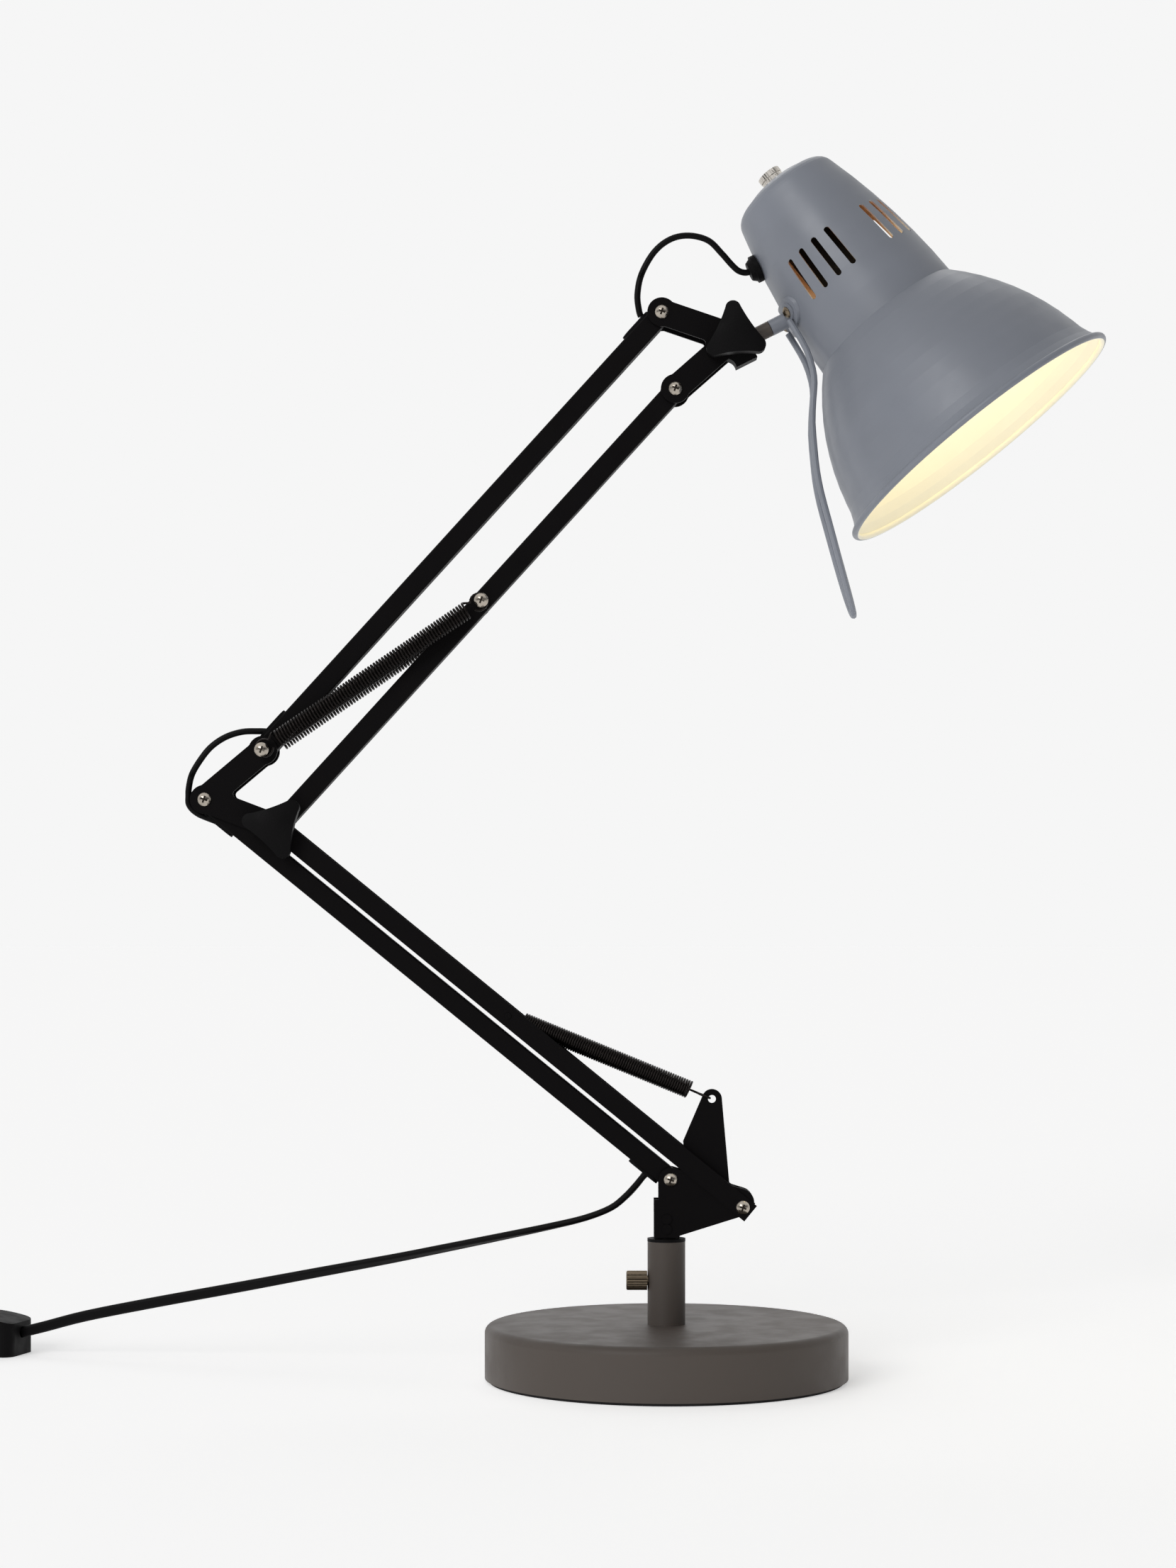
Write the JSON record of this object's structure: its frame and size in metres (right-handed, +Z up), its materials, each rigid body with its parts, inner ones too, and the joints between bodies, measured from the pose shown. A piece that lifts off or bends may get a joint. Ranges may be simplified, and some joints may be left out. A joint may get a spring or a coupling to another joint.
{
  "type": "swing arm desk lamp",
  "caption": "Swing arm desk lamp with a weighted round base, sprung parallelogram arms, a bell shade on a tilting and turning spigot, a wire handle and an in-line cord switch.",
  "frame": {"origin": "centre of the underside of the base pad", "axes": "+Z up along the stem; the arms lie in the XZ plane, with the elbow towards -X and the shade towards +X; -Y is the near side, where the knobs are"},
  "size_m": [0.7211, 0.217, 0.6161],
  "materials": {
    "base_paint": "satin grey paint",
    "stem_paint": "satin grey paint",
    "shade_paint": "satin grey paint, cream inside the shade",
    "arm_paint": "satin black paint",
    "iron": "rough casting",
    "steel": "bare steel",
    "nickel": "bright nickel plate",
    "spring_steel": "blackened spring wire",
    "black_plastic": "fine-grained black plastic",
    "cord_black": "smooth black cord sheath",
    "felt_pad": "black foam pad",
    "bulb_glass": "frosted glass",
    "porcelain": "moulded black lampholder"
  },
  "bodies": {
    "base": {"base_weight": "iron", "base_cover": "base_paint", "base_pad": "felt_pad", "stem_tube": "stem_paint", "stem_plug": "steel", "stem_bolt": "steel", "stem_bush": "black_plastic", "supply_cord": "cord_black", "lead_cord": "cord_black", "plug_cord": "cord_black", "cord_coil": "cord_black", "coil_tie": "steel", "switch_base": "black_plastic", "switch_cover": "black_plastic", "plug_body": "black_plastic", "plug_pins": "nickel"},
    "thumb_screw": {"stem_thumb_screw": "nickel"},
    "yoke": {"yoke_plates": "arm_paint", "yoke_spigot": "arm_paint", "spring_ear": "arm_paint", "yoke_fasteners": "nickel", "lower_spring": "spring_steel"},
    "lower_arm_body": {"lower_tube": "arm_paint", "lower_cord_guides": "black_plastic", "lower_inner_cord": "cord_black"},
    "lower_link_body": {"lower_channel": "arm_paint", "channel_pin": "steel"},
    "elbow": {"elbow_plates": "arm_paint", "elbow_fasteners": "nickel", "elbow_bolt": "nickel", "upper_spring_near": "spring_steel", "upper_spring_far": "spring_steel", "elbow_loop_cord": "cord_black"},
    "elbow_knob_body": {"elbow_knob": "black_plastic"},
    "upper_arm_body": {"upper_tube": "arm_paint", "upper_cord_guides": "black_plastic", "upper_inner_cord": "cord_black"},
    "upper_link_body": {"upper_link_tube": "arm_paint", "spring_screw": "nickel"},
    "head": {"head_plates": "arm_paint", "head_fasteners": "nickel", "head_bolt": "nickel", "head_loop_cord": "cord_black"},
    "head_knob_body": {"head_knob": "black_plastic"},
    "clamp": {"clamp_block": "black_plastic", "stub_shaft": "steel"},
    "shade_head": {"swivel_tube": "shade_paint", "shade_bracket": "shade_paint", "bracket_screws": "nickel", "wire_handle": "shade_paint", "shade_shell": "shade_paint", "cap_nut": "nickel", "lampholder_nipple": "steel", "lampholder": "porcelain", "bulb_cap": "nickel", "bulb_glass": "bulb_glass", "cord_gland": "black_plastic"},
    "rocker": {"switch_rocker": "black_plastic"}
  },
  "joints": [
    {"name": "thumb_screw_turn", "type": "hinge", "parent": "base", "child": "thumb_screw", "pos_m": [-0.015, 0, 0.05], "axis": [-1, 0, 0], "range_deg": [0, 180]},
    {"name": "swivel", "type": "hinge", "parent": "base", "child": "yoke", "pos_m": [0, 0, 0.0698], "axis": [0, 0, 1], "range_deg": [-170, 170], "deforming": ["supply_cord"]},
    {"name": "lower_arm", "type": "hinge", "parent": "yoke", "child": "lower_arm_body", "pos_m": [0.002, 0, 0.1012], "axis": [0, 1, 0], "range_deg": [0, 48], "deforming": ["lower_spring", "supply_cord", "elbow_loop_cord"]},
    {"name": "lower_link", "type": "hinge", "parent": "yoke", "child": "lower_link_body", "pos_m": [0.03815, 0, 0.08739], "axis": [0, 1, 0], "range_deg": [0, 48]},
    {"name": "elbow_level", "type": "hinge", "parent": "lower_arm_body", "child": "elbow", "pos_m": [-0.23203, 0, 0.29207], "axis": [0, 1, 0], "range_deg": [-48, 0]},
    {"name": "upper_arm", "type": "hinge", "parent": "elbow", "child": "upper_arm_body", "pos_m": [-0.20269, 0, 0.31669], "axis": [0, 1, 0], "range_deg": [-33, 52], "deforming": ["upper_spring_near", "upper_spring_far", "elbow_loop_cord", "head_loop_cord"]},
    {"name": "upper_link", "type": "hinge", "parent": "elbow", "child": "upper_link_body", "pos_m": [-0.19588, 0, 0.27827], "axis": [0, 1, 0], "range_deg": [-33, 52]},
    {"name": "head_level", "type": "hinge", "parent": "upper_arm_body", "child": "head", "pos_m": [-0.00247, 0, 0.53673], "axis": [0, 1, 0], "range_deg": [-52, 33]},
    {"name": "head_tilt", "type": "hinge", "parent": "head", "child": "clamp", "pos_m": [0.03397, 0, 0.52432], "axis": [0, 1, 0], "range_deg": [-60, 45], "deforming": ["head_loop_cord"]},
    {"name": "shade_swivel", "type": "hinge", "parent": "clamp", "child": "shade_head", "pos_m": [0.03555, 0, 0.5212], "axis": [0.8934, 0, 0.4493], "range_deg": [-110, 110], "deforming": ["head_loop_cord"]},
    {"name": "elbow_knob_turn", "type": "hinge", "parent": "elbow", "child": "elbow_knob_body", "pos_m": [-0.19588, 0, 0.27827], "axis": [0, -1, 0], "range_deg": [0, 180]},
    {"name": "head_knob_turn", "type": "hinge", "parent": "head", "child": "head_knob_body", "pos_m": [0.03397, 0, 0.52432], "axis": [0, -1, 0], "range_deg": [0, 180]},
    {"name": "switch_rock", "type": "hinge", "parent": "base", "child": "rocker", "pos_m": [-0.3709, 0.1014, 0.018], "axis": [-0.2706, -0.9627, 0], "range_deg": [-12, 0]}
  ],
  "couplings": [
    {"joint": "lower_link", "follows": "lower_arm", "ratio": 1},
    {"joint": "elbow_level", "follows": "lower_arm", "ratio": -1},
    {"joint": "upper_link", "follows": "upper_arm", "ratio": 1},
    {"joint": "head_level", "follows": "upper_arm", "ratio": -1}
  ]
}
